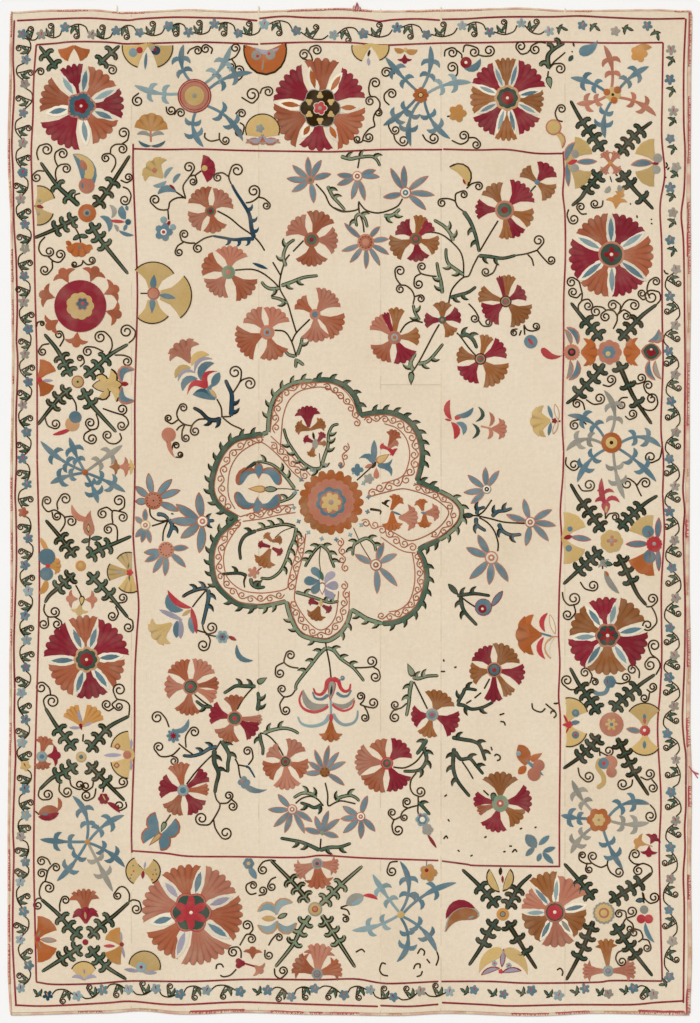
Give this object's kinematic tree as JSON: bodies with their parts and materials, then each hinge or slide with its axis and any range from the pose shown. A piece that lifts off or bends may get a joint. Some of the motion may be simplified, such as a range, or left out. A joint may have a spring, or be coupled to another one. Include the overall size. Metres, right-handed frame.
{
  "type": "suzani embroidered textile",
  "caption": "Flat rectangular embroidered cotton cover of loom-width strips sewn side by side, with a lobed central medallion, wide flower border and narrow silk binding.",
  "frame": {"origin": "under the middle of the cloth, on the surface it lies on", "axes": "+X across the cloth to the right as it faces the viewer, +Y up its length to the top edge, +Z out of its face, up off the surface"},
  "size_m": [1.619, 2.3848, 0.0029],
  "materials": {
    "cotton": "undyed hand-loomed plain-weave cotton, matte",
    "binding_silk": "worn warp-dyed silk binding in red, yellow and cream",
    "embroidery_silk": "dyed silk embroidery in couched and chain stitch, soft sheen"
  },
  "bodies": {
    "root": {"left_border_strip": "cotton", "left_field_strip": "cotton", "middle_strip": "cotton", "lower_half_strip": "cotton", "upper_half_strip": "cotton", "right_field_strip": "cotton", "right_border_strip": "cotton", "left_binding": "binding_silk", "right_binding": "binding_silk", "bottom_binding": "binding_silk", "top_binding": "binding_silk"}
  },
  "joints": []
}
